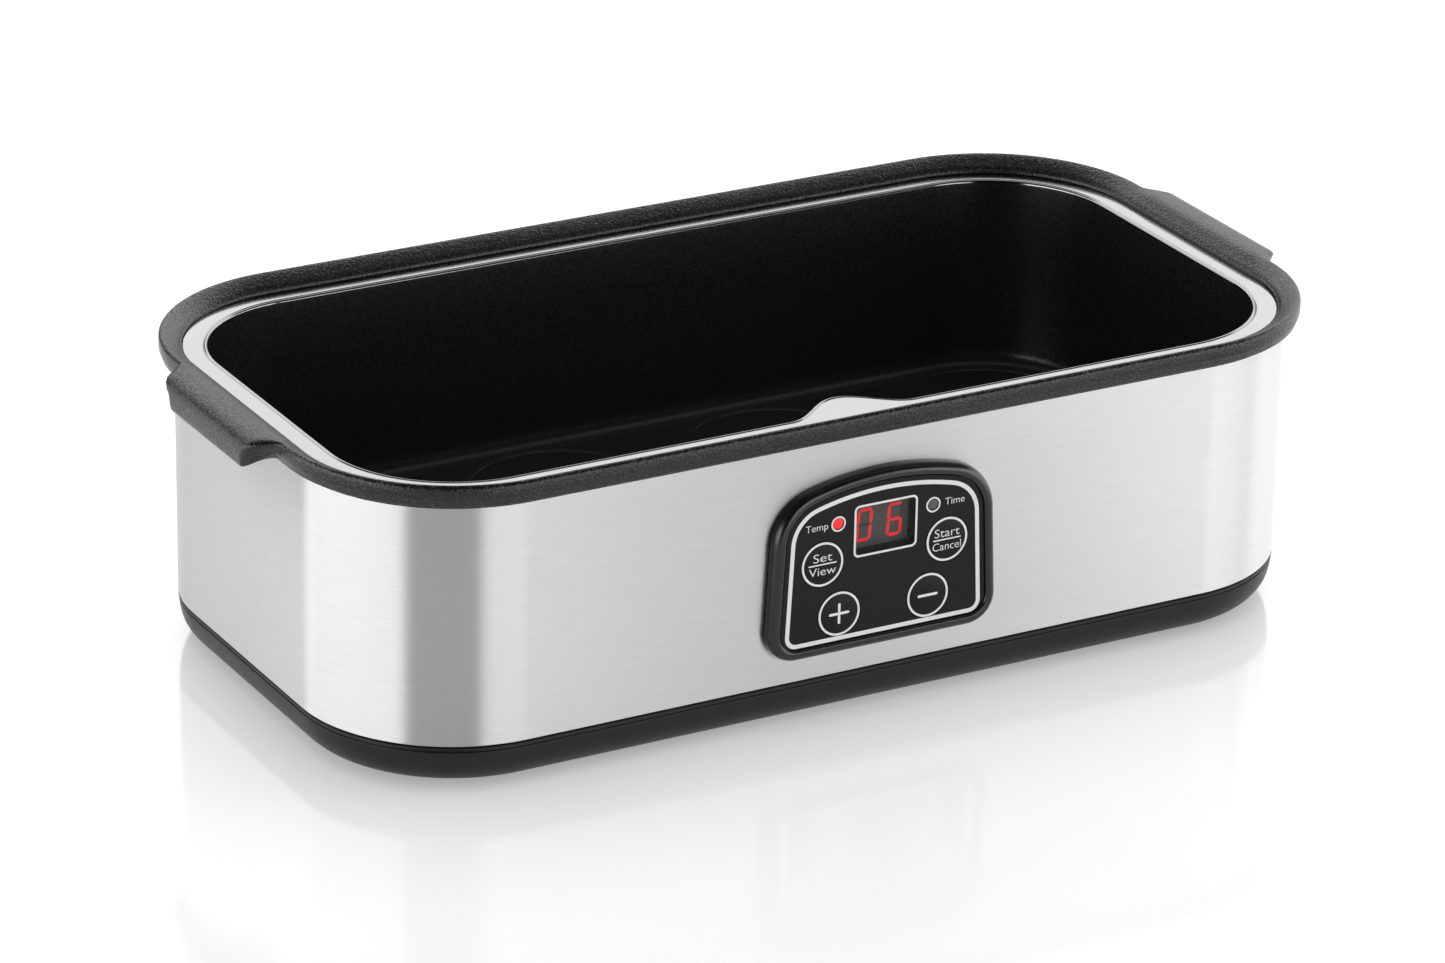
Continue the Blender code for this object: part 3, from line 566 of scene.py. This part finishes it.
def make_steel():
    """The band, with rolled edges, the panel opening, the gland hole and a welded seam at the back."""
    low = STEEL_LOW.z
    high = STEEL_HIGH.z
    thick = 0.6 * MM
    lip = 0.15 * MM
    section = [(-thick, low), (-lip, low), (0, low + lip), (0, high - lip), (-lip, high), (-thick, high)]
    loops = [[(*point, z) for point in body_outline(offset)] for offset, z in section]
    band = loft("steel_shell", loops, STEEL, ring=True)
    opening = panel_outline(2.2 * MM)
    gland_low, gland_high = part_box("cord_gland")
    gland = (gland_low + gland_high) / 2
    back = STEEL_HIGH.y
    seam = [(0.2, back - 0.2 * MM), (0.2, back + MM), (-0.2, back + MM), (-0.2, back - 0.2 * MM)]
    seam_loops = [[(x * MM, y, z) for x, y in seam] for z in (low - MM, high + MM)]
    hole = [(0, 3 * MM), (4.9 * MM, 3 * MM), (4.9 * MM, -3 * MM), (0, -3 * MM)]
    cut(
        band,
        plate("opening", opening, -back - 2 * MM, -back + 2 * MM, None),
        turned("hole", hole, (gland.x, back, gland.z), "y", None),
        loft("seam", seam_loops, None),
    )
    put(band, BODY, "brushed_steel", "steel_band")


def make_base():
    """The dish: a ridge and groove under the steel, a rounded skirt, a flat underside with its holes."""
    section = [
        (-9.0, 2.0), (-7.0, 2.0), (-6.2, 2.15), (-5.4, 2.5), (-4.4, 3.2), (-3.2, 4.3), (-2.2, 5.6),
        (-1.4, 7.0), (-0.8, 8.8), (-0.4, 10.8), (-0.2, 12.6), (-0.25, 12.9), (-0.6, 13.1),
        (-0.65, 13.3), (-0.3, 13.5), (-0.05, 13.8), (-0.1, 14.3), (-0.4, 14.6), (-0.9, 14.7),
        (-0.95, 15.2), (-0.95, 17.6), (-1.2, 17.8),
        (-2.8, 17.8), (-2.8, 13.5), (-3.4, 9.5), (-5.0, 6.2), (-8.0, 4.2), (-9.5, 4.2),
    ]
    loops = [[(*point, z * MM) for point in body_outline(offset * MM)] for offset, z in section]
    base = loft("base_shell", loops, BASE, smooth_angle=40)
    cutters = []
    for word in ("front_left", "front_right", "rear_left", "rear_right"):
        low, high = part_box(f"base_screw_{word}")
        place = ((low.x + high.x) / 2, (low.y + high.y) / 2, 0)
        recess = [(0, 5.0), (3.6, 5.0), (3.6, 2.4), (4.0, 1.9), (4.0, 0), (0, 0)]
        cutters.append(turned("recess", [mm(*p) for p in recess], place, "z", None, 40))
        boss = [
            (3.6, 4.0), (3.6, 8.0), (1.7, 8.0), (1.7, 13.0), (4.9, 13.0), (5.2, 12.7), (5.2, 4.0), (3.6, 4.0),
        ]
        boss_piece = turned(f"screw_boss_{word}", [mm(*p) for p in boss], place, "z", BASE, 40)
        put(boss_piece, BODY, "base_black_plastic")
    slot_outline = rounded_rectangle(1.5 * MM, 20 * MM, 1.4 * MM, 6)
    for i in range(VENTS):
        x = (VENT_X + VENT_PITCH * i) * MM
        loops = [[(x + px, py, z) for px, py in slot_outline] for z in (0, 6 * MM)]
        cutters.append(loft("vent", loops, None))
    cut(base, *cutters)
    put(base, BODY, "base_black_plastic", "base_tray")


def make_feet():
    foot = [(0, 5.4), (2.2, 5.4), (2.5, 4.8), (2.5, 1.9), (7.6, 1.9), (7.9, 1.7), (8.0, 1.4), (7.9, 0.5),
            (7.6, 0.15), (7.1, 0.0), (5.2, 0.0), (4.9, 0.25), (3.6, 0.25), (3.3, 0.0), (0, 0)]
    for word in ("front_left", "front_right", "rear_left", "rear_right"):
        low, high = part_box(f"foot_{word}")
        place = ((low.x + high.x) / 2, (low.y + high.y) / 2, 0)
        piece = turned(f"rubber_foot_{word}", [mm(*p) for p in foot], place, "z", RUBBER, 48)
        put(piece, BODY, "foot_rubber", f"foot_{word}")


def make_gland():
    low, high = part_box("cord_gland")
    profile = [
        (3.6, 2.9), (3.9, 3.25), (4.4, 3.3), (6.3, 3.3), (6.8, 3.1), (7.0, 2.7), (7.0, 0.3), (4.6, 0.3),
        (4.6, -0.9), (6.0, -0.9), (5.2, -6.5), (3.6, -6.5), (3.6, 2.9),
    ]
    place = ((low.x + high.x) / 2, STEEL_HIGH.y, (low.z + high.z) / 2)
    gland = turned("gland_bushing", [mm(*p) for p in profile], place, "y", BASE, 64)
    put(gland, BODY, "base_black_plastic", "cord_gland")


# ---------------------------------------------------------------- control panel


def panel_outline(inset, drop=0.0):
    """The panel's outline, moved in by inset. Its lower edge is moved down by drop."""
    low_centre = (PANEL_HALF_WIDTH - PANEL_LOW_R, PANEL_LOW_Z + PANEL_LOW_R - drop)
    top_centre = (PANEL_TOP_HALF_WIDTH - PANEL_TOP_R, PANEL_TOP_R_Z)
    meet_x = top_centre[0] + PANEL_TOP_R * math.cos(PANEL_TOP_TURN)
    arch_r = meet_x / math.cos(PANEL_TOP_TURN)
    arch_centre = (0.0, top_centre[1] + (PANEL_TOP_R - arch_r) * math.sin(PANEL_TOP_TURN))
    half = [
        *arc(low_centre, PANEL_LOW_R - inset, -QUARTER, 0, 12),
        *arc(top_centre, PANEL_TOP_R - inset, 0, PANEL_TOP_TURN, 16),
        *arc(arch_centre, arch_r - inset, PANEL_TOP_TURN, QUARTER, 10)[1:],
    ]
    other = [(-x, z) for x, z in reversed(half[:-1])]
    return [(PANEL_X + x, z) for x, z in (*half, *other)]


def window_outline(grow):
    """The window's outline, grown from the lens's own size."""
    half_x = (WINDOW_HIGH.x - WINDOW_LOW.x) / 2 + grow
    half_z = (WINDOW_HIGH.z - WINDOW_LOW.z) / 2 + grow
    centre_z = (WINDOW_HIGH.z + WINDOW_LOW.z) / 2
    points = rounded_rectangle(half_x, half_z, 0.8 * MM + grow, steps=8)
    return [(PANEL_X + x, centre_z + z) for x, z in points]


def node_centre(node):
    low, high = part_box(node)
    return (low.x + high.x) / 2, (low.z + high.z) / 2


def disc_cutter(node, radius):
    x, z = node_centre(node)
    profile = [(0, 6 * MM), (radius, 6 * MM), (radius, -6 * MM), (0, -6 * MM)]
    return turned("disc_cutter", profile, (x, FASCIA_LOW.y, z), "y", None, 64)


def panel_cutters(grow):
    """Cutters for the window, key and indicator holes."""
    cutters = [plate("window_cutter", window_outline(0.3 * MM + grow), BEZEL_LOW.y - MM, BEZEL_HIGH.y, None)]
    cutters += [disc_cutter(f"key_{key}", 7.4 * MM + grow) for key in KEYS]
    cutters += [disc_cutter(f"indicator_{word}", 1.9 * MM + grow) for word in INDICATORS]
    return cutters


def make_bezel():
    seat = STEEL_LOW.y - 0.3 * MM
    section = [
        (0.7 * MM, seat), (0.7 * MM, seat - 1.6 * MM), (0.8 * MM, seat - 2.3 * MM),
        (1.05 * MM, seat - 2.9 * MM), (1.5 * MM, seat - 3.5 * MM), (2.2 * MM, seat - 3.85 * MM),
        (2.8 * MM, seat - 4.0 * MM), (3.4 * MM, seat - 4.0 * MM), (3.9 * MM, seat - 3.85 * MM),
        (4.2 * MM, seat - 3.5 * MM),
        (4.3 * MM, seat - 3.1 * MM), (4.3 * MM, seat - 2.4 * MM), (4.3 * MM, seat),
    ]
    loops = [[(x, y, z) for x, z in panel_outline(inset)] for inset, y in section]
    bezel = loft("bezel_frame", loops, GLOSS, ring=True, smooth_angle=50)
    put(bezel, BODY, "gloss_black_plastic", "control_bezel")
    front = FASCIA_HIGH.y + 0.3 * MM
    backing = plate("bezel_backing", panel_outline(4.2 * MM), front, FASCIA_HIGH.y + 1.5 * MM, GLOSS)
    cut(backing, *panel_cutters(0.0))
    put(backing, BODY, "gloss_black_plastic", "control_bezel")


def make_fascia():
    front = FASCIA_LOW.y
    fascia = plate("fascia_sheet", panel_outline(FASCIA_INSET), front, FASCIA_HIGH.y, FILM)
    cut(fascia, *panel_cutters(0.0))
    put(fascia, BODY, "printed_fascia", "control_fascia")
    lens = plate("window_lens", window_outline(0.0), front, front + 1.2 * MM, WINDOW)
    put(lens, BODY, "smoked_window", "display_window")


def print_band(name, outer, inner, body, depth):
    """A flat ring of white ink between two outlines with equal counts."""
    front = depth - INK_THICKNESS
    loops = [[(x, y, z) for x, z in line] for line, y in ((outer, depth), (outer, front), (inner, front),
                                                         (inner, depth))]
    piece = loft(name, loops, INK, ring=True, smooth_angle=0)
    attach(piece, body)
    return piece


def circle(centre, radius, steps=72):
    return arc(centre, radius, 0, 2 * math.pi, steps)[:-1]


def print_ring(name, centre, radius, width, body, depth):
    return print_band(name, circle(centre, radius), circle(centre, radius - width), body, depth)


def print_stroke(name, centre, length, height, body, depth):
    """A straight stroke with round ends, lying or standing."""
    radius = min(length, height) / 2
    stroke = rounded_rectangle(length / 2, height / 2, radius, 8)
    outline = [(centre[0] + x, centre[1] + z) for x, z in stroke]
    piece = plate(name, outline, depth - INK_THICKNESS, depth, INK, 0)
    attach(piece, body)
    return piece


def print_word(name, words, centre, width, height, body, depth):
    """A printed word, fitted to a width and a height, as a thin mesh."""
    curve = bpy.data.curves.new(name, "FONT")
    curve.body = words
    curve.size = 1.0
    curve.resolution_u = 4
    curve.offset = -0.004
    text = bpy.data.objects.new(name, curve)
    bpy.context.scene.collection.objects.link(text)
    bpy.context.view_layer.update()
    mesh = bpy.data.meshes.new_from_object(text.evaluated_get(bpy.context.evaluated_depsgraph_get()))
    bpy.data.objects.remove(text)
    low = Vector([min(v.co[i] for v in mesh.vertices) for i in range(3)])
    high = Vector([max(v.co[i] for v in mesh.vertices) for i in range(3)])
    size = high - low
    fit = Matrix.Diagonal((width / size.x, height / size.y, 1.0, 1.0))
    mesh.transform(fit @ Matrix.Translation(-(low + high) / 2))
    mesh.transform(Matrix.Translation((centre[0], depth, centre[1])) @ Matrix.Rotation(QUARTER, 4, "X"))
    bm = bmesh.new()
    bm.from_mesh(mesh)
    bmesh.ops.remove_doubles(bm, verts=bm.verts, dist=0.002 * MM)
    made = bmesh.ops.extrude_face_region(bm, geom=bm.faces[:])
    moved = [item for item in made["geom"] if isinstance(item, bmesh.types.BMVert)]
    bmesh.ops.translate(bm, verts=moved, vec=(0, -INK_THICKNESS, 0))
    piece = from_bmesh(name, bm, INK, 0)
    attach(piece, body)
    return piece


def make_keys():
    """Caps that sit flush in the fascia, each with its printed ring and legend riding on it."""
    legends = {"set_view": ("Set", "View"), "start_cancel": ("Start", "Cancel")}
    widths = {"Set": (6.4, 2.75), "View": (9.2, 2.6), "Start": (8.6, 2.75), "Cancel": (9.8, 2.55)}
    for key in KEYS:
        node = f"key_{key}"
        low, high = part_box(node)
        x, z = node_centre(node)
        front = low.y
        cap = [
            (0, 5.4), (1.8, 5.4), (1.8, 3.0), (8.3, 3.0), (8.3, 2.3), (7.15, 2.3), (7.15, 0.12), (7.08, 0.03),
            (7.0, 0.0), (0, 0),
        ]
        piece = turned(f"{key}_cap", [mm(*p) for p in cap], (x, front, z), "y", FILM, 72)
        put(piece, node, "printed_fascia", node)
        print_ring(f"{key}_ring", (x, z), 7.02 * MM, RING_WIDTH, node, front)
        if key in legends:
            upper, lower = legends[key]
            print_word(f"{key}_upper_word", upper, (x, z + 2.2 * MM), *mm(*widths[upper]), node, front)
            print_word(f"{key}_lower_word", lower, (x, z - 2.15 * MM), *mm(*widths[lower]), node, front)
            print_stroke(f"{key}_divider", (x, z), *mm(9.6, 0.42), node, front)
            continue
        print_stroke(f"{key}_bar", (x, z), *mm(6.9, 0.85), node, front)
        if key == "plus":
            for side in (-1, 1):
                centre = (x, z + side * 1.9 * MM)
                end = "upper" if side > 0 else "lower"
                print_stroke(f"plus_arm_{end}", centre, *mm(0.85, 2.9), node, front)


def make_print():
    """The border, the window's frame, the indicators' rings and their words."""
    front = FASCIA_LOW.y
    border = [panel_outline(BORDER_INSET + width, BORDER_DROP) for width in (0.0, BORDER_WIDTH)]
    print_band("border_line", *border, BODY, front)
    print_band("window_line", window_outline(1.0 * MM), window_outline(0.32 * MM), BODY, front)
    words = {"temp": ("Temp", -7.3, -0.25, 7.6, 2.9), "time": ("Time", 7.4, 0.2, 6.7, 2.25)}
    for word in INDICATORS:
        x, z = node_centre(f"indicator_{word}")
        print_ring(f"{word}_ring", (x, z), 2.45 * MM, 0.52 * MM, BODY, front)
        text, dx, dz, width, height = words[word]
        print_word(f"{word}_word", text, (x + dx * MM, z + dz * MM), width * MM, height * MM, BODY, front)


def make_indicators():
    lens = [(0, 9.8), (2.4, 9.8), (2.4, 8.6), (1.75, 8.6), (1.75, 0.35), (1.6, 0.1), (1.2, -0.05), (0, -0.1)]
    for word, material, slot in (("temp", LIT_LAMP, "red_indicator"), ("time", UNLIT, "grey_indicator")):
        x, z = node_centre(f"indicator_{word}")
        piece = turned(f"{word}_lamp", [mm(*p) for p in lens], (x, FASCIA_LOW.y, z), "y", material, 40)
        put(piece, BODY, slot, f"indicator_{word}")


SEGMENTS = {"a": (0, 1, 0), "g": (0, 0, 0), "d": (0, -1, 0), "f": (-1, 0.5, 1), "b": (1, 0.5, 1),
            "e": (-1, -0.5, 1), "c": (1, -0.5, 1)}
DIGITS = (("0", "abcdef"), ("6", "acdefg"))


def make_display():
    """A two-digit LED module: a grey case with seven raised segments a digit, leaning a little."""
    front = DISPLAY_LOW.y
    half_x = (DISPLAY_HIGH.x - DISPLAY_LOW.x) / 2
    half_z = (DISPLAY_HIGH.z - DISPLAY_LOW.z) / 2
    centre_z = (DISPLAY_HIGH.z + DISPLAY_LOW.z) / 2
    outline = [(PANEL_X + x, centre_z + z) for x, z in rounded_rectangle(half_x, half_z, 0.4 * MM, 4)]
    case = plate("display_case", outline, front, DISPLAY_HIGH.y, DISPLAY)
    put(case, BODY, "display_grey", "led_display")
    pitch = 10.4 * MM
    half_digit = 4.8 * MM
    half_width = 2.15 * MM
    stroke = 0.5 * MM
    lean = 0.08
    for place, (digit, lit) in enumerate(DIGITS):
        origin = PANEL_X + (place - 0.5) * pitch
        for letter, (across, up, standing) in SEGMENTS.items():
            length = (half_digit / 2 if standing else half_width) - 0.12 * MM
            shape = [(length, 0), (length - stroke, stroke), (stroke - length, stroke), (-length, 0),
                     (stroke - length, -stroke), (length - stroke, -stroke)]
            points = []
            for along, side in shape:
                x, z = (side, along) if standing else (along, side)
                x += across * half_width
                z += up * half_digit
                points.append((origin + x + z * lean, centre_z + z))
            material = LIT if letter in lit else UNLIT
            name = f"digit_{place + 1}_segment_{letter}"
            piece = plate(name, points, front - 0.08 * MM, front + 0.3 * MM, material, 0)
            put(piece, BODY, "red_indicator" if letter in lit else "display_grey")


# ---------------------------------------------------------------- studio and camera


FLOOR_GLOW = 0.34


def make_floor():
    """A glossy white table that is lit a little from inside."""
    bm = bmesh.new()
    bmesh.ops.create_grid(bm, x_segments=2, y_segments=2, size=6.0)
    floor = from_bmesh("studio_floor", bm, None, 0)
    m = Nodes(
        "studio_floor", (0.66, 0.66, 0.66), 0.1,
        Emission_Color=(1.0, 1.0, 1.0, 1.0), Emission_Strength=FLOOR_GLOW,
    )
    m.roughness(m.noise(3), 0.09, 0.12)
    floor.data.materials.append(m.material)


# What mirrored rays see of the studio, as (degrees, brightness), set to suit the main view.
# Low cards stand round the object, and their angle goes from its front towards its left. High cards
# go over it, from the bearing STUDIO_FRONT (0) over the top (90) to the far side (180). That bearing
# is about the main view's, and it stays put when the camera moves.
LOW_CARDS = [
    (-180, 0.0), (-120, 1.5), (-60, 3.2), (-38, 4.0), (-32.1, 4.2), (-31.2, 3.2), (-30.3, 1.8), (-29.3, 0.9),
    (-28, 0.1), (-26.8, 0.0), (-26, 1.2), (-25.2, 3.2), (0, 3.2), (6, 2.4), (10, 0.0), (54, 0.0), (58, 1.8),
    (62, 4.2), (95, 4.4), (136, 3.8), (144, 0.9), (148, 0.0), (180, 0.0),
]
HIGH_CARDS = [
    (0, 0.03), (30, 0.02), (74, 0.02), (86, 0.4), (100, 0.4), (108, 0.05), (126, 0.05), (136, 2.6),
    (180, 2.6),
]
LOW_TOP = math.radians(14)
HIGH_START = math.radians(20)
BRIGHTEST = 5.0
SOFT_LEVEL = 0.72
STUDIO_FRONT = -29.4


class Sky:
    """A short way to build the world from angles of the ray's direction."""

    def __init__(self, tree):
        self.tree = tree
        place = tree.nodes.new("ShaderNodeTexCoord").outputs["Generated"]
        self.split = tree.nodes.new("ShaderNodeSeparateXYZ")
        tree.links.new(place, self.split.inputs["Vector"])
        self.place = place

    def maths(self, operation, first, second):
        node = self.tree.nodes.new("ShaderNodeMath")
        node.operation = operation
        for socket, value in zip(node.inputs, (first, second)):
            if isinstance(value, (int, float)):
                socket.default_value = value
            else:
                self.tree.links.new(value, socket)
        return node.outputs["Value"]

    def along(self, direction):
        node = self.tree.nodes.new("ShaderNodeVectorMath")
        node.operation = "DOT_PRODUCT"
        self.tree.links.new(self.place, node.inputs[0])
        node.inputs[1].default_value = direction
        return node.outputs["Value"]

    def ramp(self, value, rows, low, high):
        """Turns an angle in radians into brightness, from (degrees, brightness) rows."""
        past_low = self.maths("SUBTRACT", value, math.radians(low))
        share = self.maths("DIVIDE", past_low, math.radians(high - low))
        node = self.tree.nodes.new("ShaderNodeValToRGB")
        elements = node.color_ramp.elements
        for i, (angle, light) in enumerate(rows):
            element = elements[i] if i < 2 else elements.new(1.0)
            element.position = (angle - low) / (high - low)
            element.color = (light / BRIGHTEST, light / BRIGHTEST, light / BRIGHTEST, 1.0)
        self.tree.links.new(share, node.inputs["Fac"])
        return node.outputs["Color"]

    def background(self, colour, strength):
        node = self.tree.nodes.new("ShaderNodeBackground")
        node.inputs["Strength"].default_value = strength
        if isinstance(colour, tuple):
            node.inputs["Color"].default_value = colour
        else:
            self.tree.links.new(colour, node.inputs["Color"])
        return node.outputs["Background"]

    def pick(self, share, first, second):
        node = self.tree.nodes.new("ShaderNodeMixShader")
        self.tree.links.new(share, node.inputs["Fac"])
        self.tree.links.new(first, node.inputs[1])
        self.tree.links.new(second, node.inputs[2])
        return node.outputs["Shader"]


def make_world():
    """A white studio. Mirrors see its cards and the gaps between them, everything else sees soft white."""
    world = bpy.data.worlds.new("studio")
    bpy.context.scene.world = world
    world.use_nodes = True
    tree = world.node_tree
    tree.nodes.clear()
    sky = Sky(tree)
    front = math.radians(STUDIO_FRONT)
    towards = (math.sin(front), -math.cos(front), 0.0)
    turn = sky.maths("ARCTAN2", sky.along((-1.0, 0.0, 0.0)), sky.along((0.0, -1.0, 0.0)))
    tilt = sky.maths("ARCSINE", sky.split.outputs["Z"], 0.0)
    over = sky.maths("ARCTAN2", sky.split.outputs["Z"], sky.along(towards))
    low = sky.background(sky.ramp(turn, LOW_CARDS, -180, 180), BRIGHTEST)
    high = sky.background(sky.ramp(over, HIGH_CARDS, 0, 180), BRIGHTEST)
    rise = sky.maths("DIVIDE", sky.maths("SUBTRACT", tilt, LOW_TOP), HIGH_START - LOW_TOP)
    share = sky.maths("MINIMUM", sky.maths("MAXIMUM", rise, 0.0), 1.0)
    soft = sky.background((1.0, 1.0, 1.0, 1.0), SOFT_LEVEL)
    rays = tree.nodes.new("ShaderNodeLightPath")
    shown = sky.pick(rays.outputs["Is Glossy Ray"], soft, sky.pick(share, low, high))
    out = tree.nodes.new("ShaderNodeOutputWorld")
    tree.links.new(shown, out.inputs["Surface"])


def make_lights():
    """A large soft top light, and a softer one from the right. The cards do the mirroring, not these."""
    for name, place, size, power in (
        ("top_softbox", (0.1, 0.3, 1.6), 1.4, 9.0),
        ("side_softbox", (1.3, -0.6, 0.9), 0.9, 3.0),
    ):
        light = bpy.data.lights.new(name, "AREA")
        light.size = size
        light.energy = power
        obj = bpy.data.objects.new(name, light)
        bpy.context.scene.collection.objects.link(obj)
        obj.location = place
        obj.rotation_euler = (-Vector(place)).to_track_quat("-Z", "Y").to_euler()
        obj.visible_glossy = False


# The camera looks from the front left, a little from above, through a long lens.
CAMERA_AZIMUTH = math.radians(-29.42)
CAMERA_ELEVATION = math.radians(22.81)
CAMERA_ROLL = math.radians(1.08)
CAMERA_DISTANCE = 1.9668
CAMERA_SIDESTEP = -0.00267
CAMERA_RISE = 0.0243
CAMERA_LENS = 158.4


def make_camera():
    data = bpy.data.cameras.new("camera")
    data.lens = CAMERA_LENS
    data.sensor_width = 36.0
    data.clip_end = 100.0
    camera = bpy.data.objects.new("camera", data)
    bpy.context.scene.collection.objects.link(camera)
    flat = math.cos(CAMERA_ELEVATION)
    side = math.sin(CAMERA_AZIMUTH) * flat
    near = -math.cos(CAMERA_AZIMUTH) * flat
    back = Vector((side, near, math.sin(CAMERA_ELEVATION)))
    right = (-back).cross(Vector((0, 0, 1))).normalized()
    up = right.cross(-back)
    rolled_right = right * math.cos(CAMERA_ROLL) + up * math.sin(CAMERA_ROLL)
    rolled_up = up * math.cos(CAMERA_ROLL) - right * math.sin(CAMERA_ROLL)
    place = back * CAMERA_DISTANCE + rolled_right * CAMERA_SIDESTEP + rolled_up * CAMERA_RISE
    place.z += STEEL_LOW.z
    axes = Matrix((rolled_right, rolled_up, back)).transposed().to_4x4()
    camera.matrix_world = Matrix.Translation(place) @ axes
    bpy.context.scene.camera = camera


make_camera()
make_rim()
make_pan()
make_steel()
make_base()
make_feet()
make_gland()
make_bezel()
make_fascia()
make_keys()
make_print()
make_indicators()
make_display()
make_floor()
make_world()
make_lights()
bpy.context.scene.view_settings.view_transform = "Standard"
